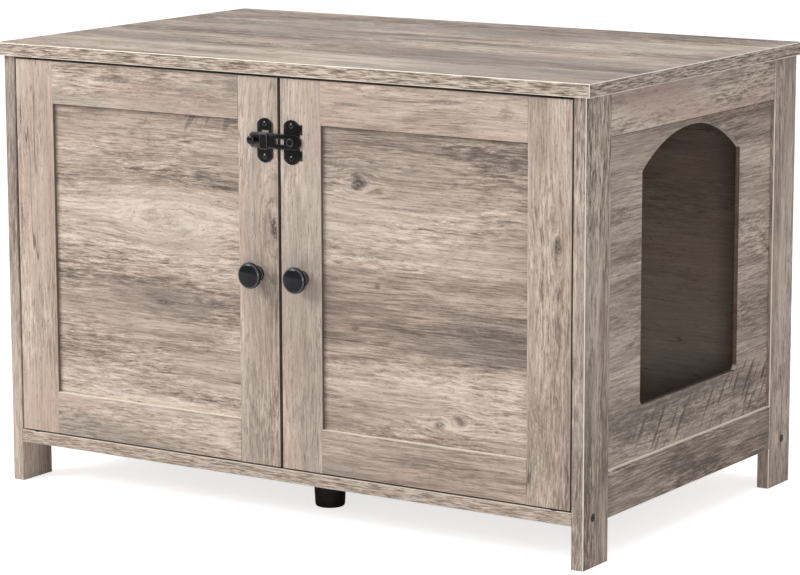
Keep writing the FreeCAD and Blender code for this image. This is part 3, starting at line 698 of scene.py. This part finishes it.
def turnedMesh(name, profile, centre, direction, steps=72):
    aim = Vector(direction).to_track_quat("Z", "Y").to_matrix().to_4x4()
    aim.translation = Vector(centre) * mm
    build = bmesh.new()
    rings = []
    for radius, height in profile:
        if radius == 0:
            rings.append([build.verts.new((0, 0, height * mm))])
            continue
        angles = [2 * math.pi * step / steps for step in range(steps)]
        rings.append([build.verts.new((radius * mm * math.cos(a), radius * mm * math.sin(a), height * mm))
                      for a in angles])
    for lower, upper in zip(rings, rings[1:]):
        for step in range(steps):
            after = (step + 1) % steps
            if len(lower) == 1:
                build.faces.new((lower[0], upper[after], upper[step]))
            elif len(upper) == 1:
                build.faces.new((lower[step], lower[after], upper[0]))
            else:
                build.faces.new((lower[step], lower[after], upper[after], upper[step]))
    bmesh.ops.recalc_face_normals(build, faces=build.faces)
    build.transform(aim)
    mesh = bpy.data.meshes.new(name)
    build.to_mesh(mesh)
    build.free()
    return mesh


def curved(points, steps=6):  # quadratic curves through every other point
    smooth = [points[0]]
    for (r0, h0), (r1, h1), (r2, h2) in zip(points[:-2:2], points[1:-1:2], points[2::2]):
        for step in range(1, steps + 1):
            t = step / steps
            smooth.append(((1 - t) ** 2 * r0 + 2 * t * (1 - t) * r1 + t * t * r2,
                           (1 - t) ** 2 * h0 + 2 * t * (1 - t) * h1 + t * t * h2))
    return smooth


# places in mm; profiles are radius and height, from the foot of the piece outward
front, back = (0, -1, 0), (0, 1, 0)
doorFace, doorBack = -236.25, -221.25

knobPlace = {"x": 30.5, "height": 284.0}
knobProfile = (
    [(0, 0), (8.7, 0)] + curved([(9.0, 0.3), (9.0, 1.2), (8.2, 2.0), (6.6, 3.4), (6.4, 5.6)])
    + curved([(6.4, 10.0), (6.5, 11.8), (9.4, 12.2), (14.0, 12.5), (14.8, 13.9)])
    + curved([(15.0, 14.6), (15.1, 16.6), (14.6, 17.4), (14.1, 18.1), (12.6, 19.0)])
    + curved([(12.3, 19.15), (7.0, 20.4), (0, 20.5)], 8))
for side, body in ((-1, "left_door"), (1, "right_door")):
    name = "leftKnob" if side < 0 else "rightKnob"
    mesh = turnedMesh(name, knobProfile, (side * knobPlace["x"], doorFace, knobPlace["height"]), front)
    knob = finishPiece(name, mesh, coated["knobEnamel"], body, (body.replace("door", "knob"),), sharp=60.0)

latchParts = {  # the last value is the width of the softened edge
    "latch_keeper": ("keeperPlate", "left_door", 0.28), "latch_base": ("basePlate", "right_door", 0.28),
    "latch_bar": ("flipBar", "latch", 0.35),
}
for node, (name, body, width) in latchParts.items():
    roundedCopy(name, node, body, coated["latchEnamel"], width)
latchPlace = {"x": 18, "height": 436, "thumbX": -33.0, "plateFace": -237.45, "barFace": -239.35,
              "screwRise": 18.3}
rivetProfile = ([(0, -2.0), (2.5, -2.0), (2.5, 3.4)]
                + curved([(4.8, 3.4), (5.0, 3.4), (5.0, 3.8), (4.7, 4.9), (3.0, 5.15)]) + [(0, 5.2)])
rivetCentre = (latchPlace["x"], doorFace, latchPlace["height"])
rivetMesh = turnedMesh("pivotRivet", rivetProfile, rivetCentre, front, steps=48)
rivet = finishPiece("pivotRivet", rivetMesh, coated["latchEnamel"], "right_door", ("latch_rivet",),
                    sharp=50.0)
thumbProfile = ([(0, 0), (3.4, 0), (3.4, 2.6)]
                + curved([(4.4, 2.8), (5.2, 2.9), (5.2, 3.8), (5.2, 5.4), (4.4, 6.1)])
                + curved([(4.2, 6.3), (2.4, 7.0), (0, 7.0)]))
thumbCentre = (latchPlace["thumbX"], latchPlace["barFace"], latchPlace["height"])
thumbMesh = turnedMesh("thumbKnob", thumbProfile, thumbCentre, front, steps=48)
thumb = finishPiece("thumbKnob", thumbMesh, coated["knobEnamel"], "latch", ("latch_thumb_knob",), sharp=50.0)

footPlaces = (-139.25, 159.75)
footProfile = ([(0, 0.6), (13.0, 0.6), (13.4, 0)] + curved([(14.4, 0), (17.0, 0), (17.3, 3.0)])
               + [(19.6, 46.0), (19.8, 47.5), (0, 47.5)])
feet = bmesh.new()
for y in footPlaces:
    feet.from_mesh(turnedMesh("foot", footProfile, (0, y, 0), (0, 0, 1)))
feetMesh = bpy.data.meshes.new("centreFeet")
feet.to_mesh(feetMesh)
feet.free()
finishPiece("centreFeet", feetMesh, coated["footPlastic"], "cabinet", ("centre_feet",), sharp=40.0)
print("hardware made")

# cross-head screws, one tree for every size
crossShape = {"arm": 1.15, "blade": 0.27, "depth": 2.0, "lift": 0.6}  # shares of the head, recess and rim
mostTurn = 1.5  # how far a cross may be turned at random, in radians
screwMeasures = {"Head Radius": 3.0, "Crown": 0.7, "Rim": 0.4, "Recess Depth": 1.2}  # mm, for a plain screw
screwSizes = {  # the same four measures for each kind used here
    "plate": (3.3, 1.1, 0.35, 0.8), "knob": (3.8, 1.2, 0.6, 0.9), "strike": (2.6, 0.15, 0.1, 0.2),
    "catch": (2.8, 0.7, 0.4, 0.6), "leg": (2.9, 0.4, 0.15, 0.6),
}


def buildScrewTree():
    tree = bpy.data.node_groups.new("crossScrews", "GeometryNodeTree")
    tree.interface.new_socket("Geometry", in_out="INPUT", socket_type="NodeSocketGeometry")
    for label, measure in screwMeasures.items():
        socket = tree.interface.new_socket(label, in_out="INPUT", socket_type="NodeSocketFloat")
        socket.default_value = measure * mm
    tree.interface.new_socket("Metal", in_out="INPUT", socket_type="NodeSocketMaterial")
    tree.interface.new_socket("Seed", in_out="INPUT", socket_type="NodeSocketInt").default_value = 4
    tree.interface.new_socket("Geometry", in_out="OUTPUT", socket_type="NodeSocketGeometry")
    given = tree.nodes.new("NodeGroupInput").outputs
    result = tree.nodes.new("NodeGroupOutput").inputs
    disc = put(tree, "GeometryNodeMeshCylinder", {"Vertices": 32, "Side Segments": 1, "Fill Segments": 5,
                                                  "Radius": given["Head Radius"], "Depth": given["Rim"]})
    parts = separate(tree, put(tree, "GeometryNodeInputPosition").outputs[0])
    share = calc(tree, "DIVIDE", length(tree, combine(tree, parts[0], parts[1])), given["Head Radius"])
    rise = times(tree, minus(tree, 1.0, times(tree, share, share)), given["Crown"])
    rise = plus(tree, rise, times(tree, given["Rim"], 0.5))
    above = calc(tree, "GREATER_THAN", parts[2], 0.0)
    head = put(tree, "GeometryNodeSetPosition", {"Geometry": disc.outputs["Mesh"], "Selection": above,
                                                 "Offset": combine(tree, 0.0, 0.0, rise)}).outputs[0]
    arm = times(tree, given["Head Radius"], crossShape["arm"])
    blade = times(tree, given["Head Radius"], crossShape["blade"])
    tall = times(tree, given["Recess Depth"], crossShape["depth"])
    cross = put(tree, "GeometryNodeMeshBoolean", operation="UNION")
    for x, y in ((arm, blade), (blade, arm)):
        bar = put(tree, "GeometryNodeMeshCube", {"Size": combine(tree, x, y, tall)}).outputs[0]
        tree.links.new(bar, cross.inputs["Mesh 2"])
    top = plus(tree, given["Crown"], given["Rim"])
    lifted = combine(tree, 0.0, 0.0, plus(tree, top, times(tree, given["Rim"], crossShape["lift"])))
    cutter = put(tree, "GeometryNodeTransform", {"Geometry": cross.outputs["Mesh"],
                                                 "Translation": lifted}).outputs[0]
    cut = put(tree, "GeometryNodeMeshBoolean", {"Mesh 1": head, "Mesh 2": cutter}, operation="DIFFERENCE")
    facing = put(tree, "GeometryNodeInputNamedAttribute", {"Name": "facing"},
                 data_type="FLOAT_VECTOR").outputs[0]
    aim = put(tree, "FunctionNodeAlignRotationToVector", {"Vector": facing}, axis="Z").outputs[0]
    turn = put(tree, "FunctionNodeRandomValue", {2: 0.0, 3: mostTurn, "Seed": given["Seed"]},
               data_type="FLOAT").outputs[1]
    spin = put(tree, "FunctionNodeAxisAngleToRotation", {"Axis": (0.0, 0.0, 1.0), "Angle": turn}).outputs[0]
    rotation = put(tree, "FunctionNodeRotateRotation", {"Rotation": aim, "Rotate By": spin},
                   rotation_space="LOCAL").outputs[0]
    heads = put(tree, "GeometryNodeInstanceOnPoints", {
        "Points": given["Geometry"], "Instance": cut.outputs["Mesh"], "Rotation": rotation}).outputs[0]
    real = put(tree, "GeometryNodeRealizeInstances", {"Geometry": heads}).outputs[0]
    coloured = put(tree, "GeometryNodeSetMaterial", {"Geometry": real, "Material": given["Metal"]}).outputs[0]
    tree.links.new(coloured, result["Geometry"])
    return tree


screwTree = buildScrewTree()


def driveScrews(name, body, metal, size, places):
    points = bpy.data.meshes.new(name + "Points")
    points.from_pydata([tuple(v * mm for v in place) for place, out in places], [], [])
    facing = points.attributes.new("facing", "FLOAT_VECTOR", "POINT")
    for number, (place, out) in enumerate(places):
        facing.data[number].vector = out
    holder = addObject(name + "Draft", points)
    screws = holder.modifiers.new("screws", "NODES")
    screws.node_group = screwTree
    values = dict(zip(screwMeasures, (v * mm for v in screwSizes[size])), Metal=metal)
    for item in screwTree.interface.items_tree:
        if item.in_out == "INPUT" and item.name in values:
            screws[item.identifier] = values[item.name]
    mesh = bakedMesh(name, holder)
    finishPiece(name, mesh, metal, body, sharp=30.0)


plateScrewHeights = [latchPlace["height"] + sign * latchPlace["screwRise"] for sign in (-1, 1)]
strikePlace = {"x": 14, "height": 502, "thickness": 1.2}
strikeFace = doorBack + strikePlace["thickness"]
catchPlace = {"xs": (-18.5, 18.5), "y": -212.75, "height": 507}
legScrewPlaces = {"x": 392.5, "ys": (-215.25, 235.75), "height": 55.0}
screwSets = {
    "keeperScrews": ("left_door", "plateScrewEnamel", "plate", [
        ((-latchPlace["x"], latchPlace["plateFace"], z), front) for z in plateScrewHeights], "black_metal"),
    "baseScrews": ("right_door", "plateScrewEnamel", "plate", [
        ((latchPlace["x"], latchPlace["plateFace"], z), front) for z in plateScrewHeights], "black_metal"),
    "leftKnobScrew": ("left_door", "platedSteel", "knob", [
        ((-knobPlace["x"], doorBack, knobPlace["height"]), back)], "zinc_steel"),
    "rightKnobScrew": ("right_door", "platedSteel", "knob", [
        ((knobPlace["x"], doorBack, knobPlace["height"]), back)], "zinc_steel"),
    "leftStrikeScrew": ("left_door", "platedSteel", "strike", [
        ((-strikePlace["x"], strikeFace, strikePlace["height"]), back)], "zinc_steel"),
    "rightStrikeScrew": ("right_door", "platedSteel", "strike", [
        ((strikePlace["x"], strikeFace, strikePlace["height"]), back)], "zinc_steel"),
    "catchScrews": ("cabinet", "platedSteel", "catch", [
        ((x, catchPlace["y"], catchPlace["height"]), (0, 0, -1)) for x in catchPlace["xs"]], "zinc_steel"),
    "legScrewHeads": ("cabinet", "screwSteel", "leg", [
        ((side * legScrewPlaces["x"], y, legScrewPlaces["height"]), (side, 0, 0))
        for side in (-1, 1) for y in legScrewPlaces["ys"]], "leg_screw_steel"),
}
for name, (body, coat, size, places, materialSlot) in screwSets.items():
    driveScrews(name, body, coated[coat], size, places)
print("screws driven")

bpy.context.scene.view_settings.view_transform = "Standard"
print("scene finished")
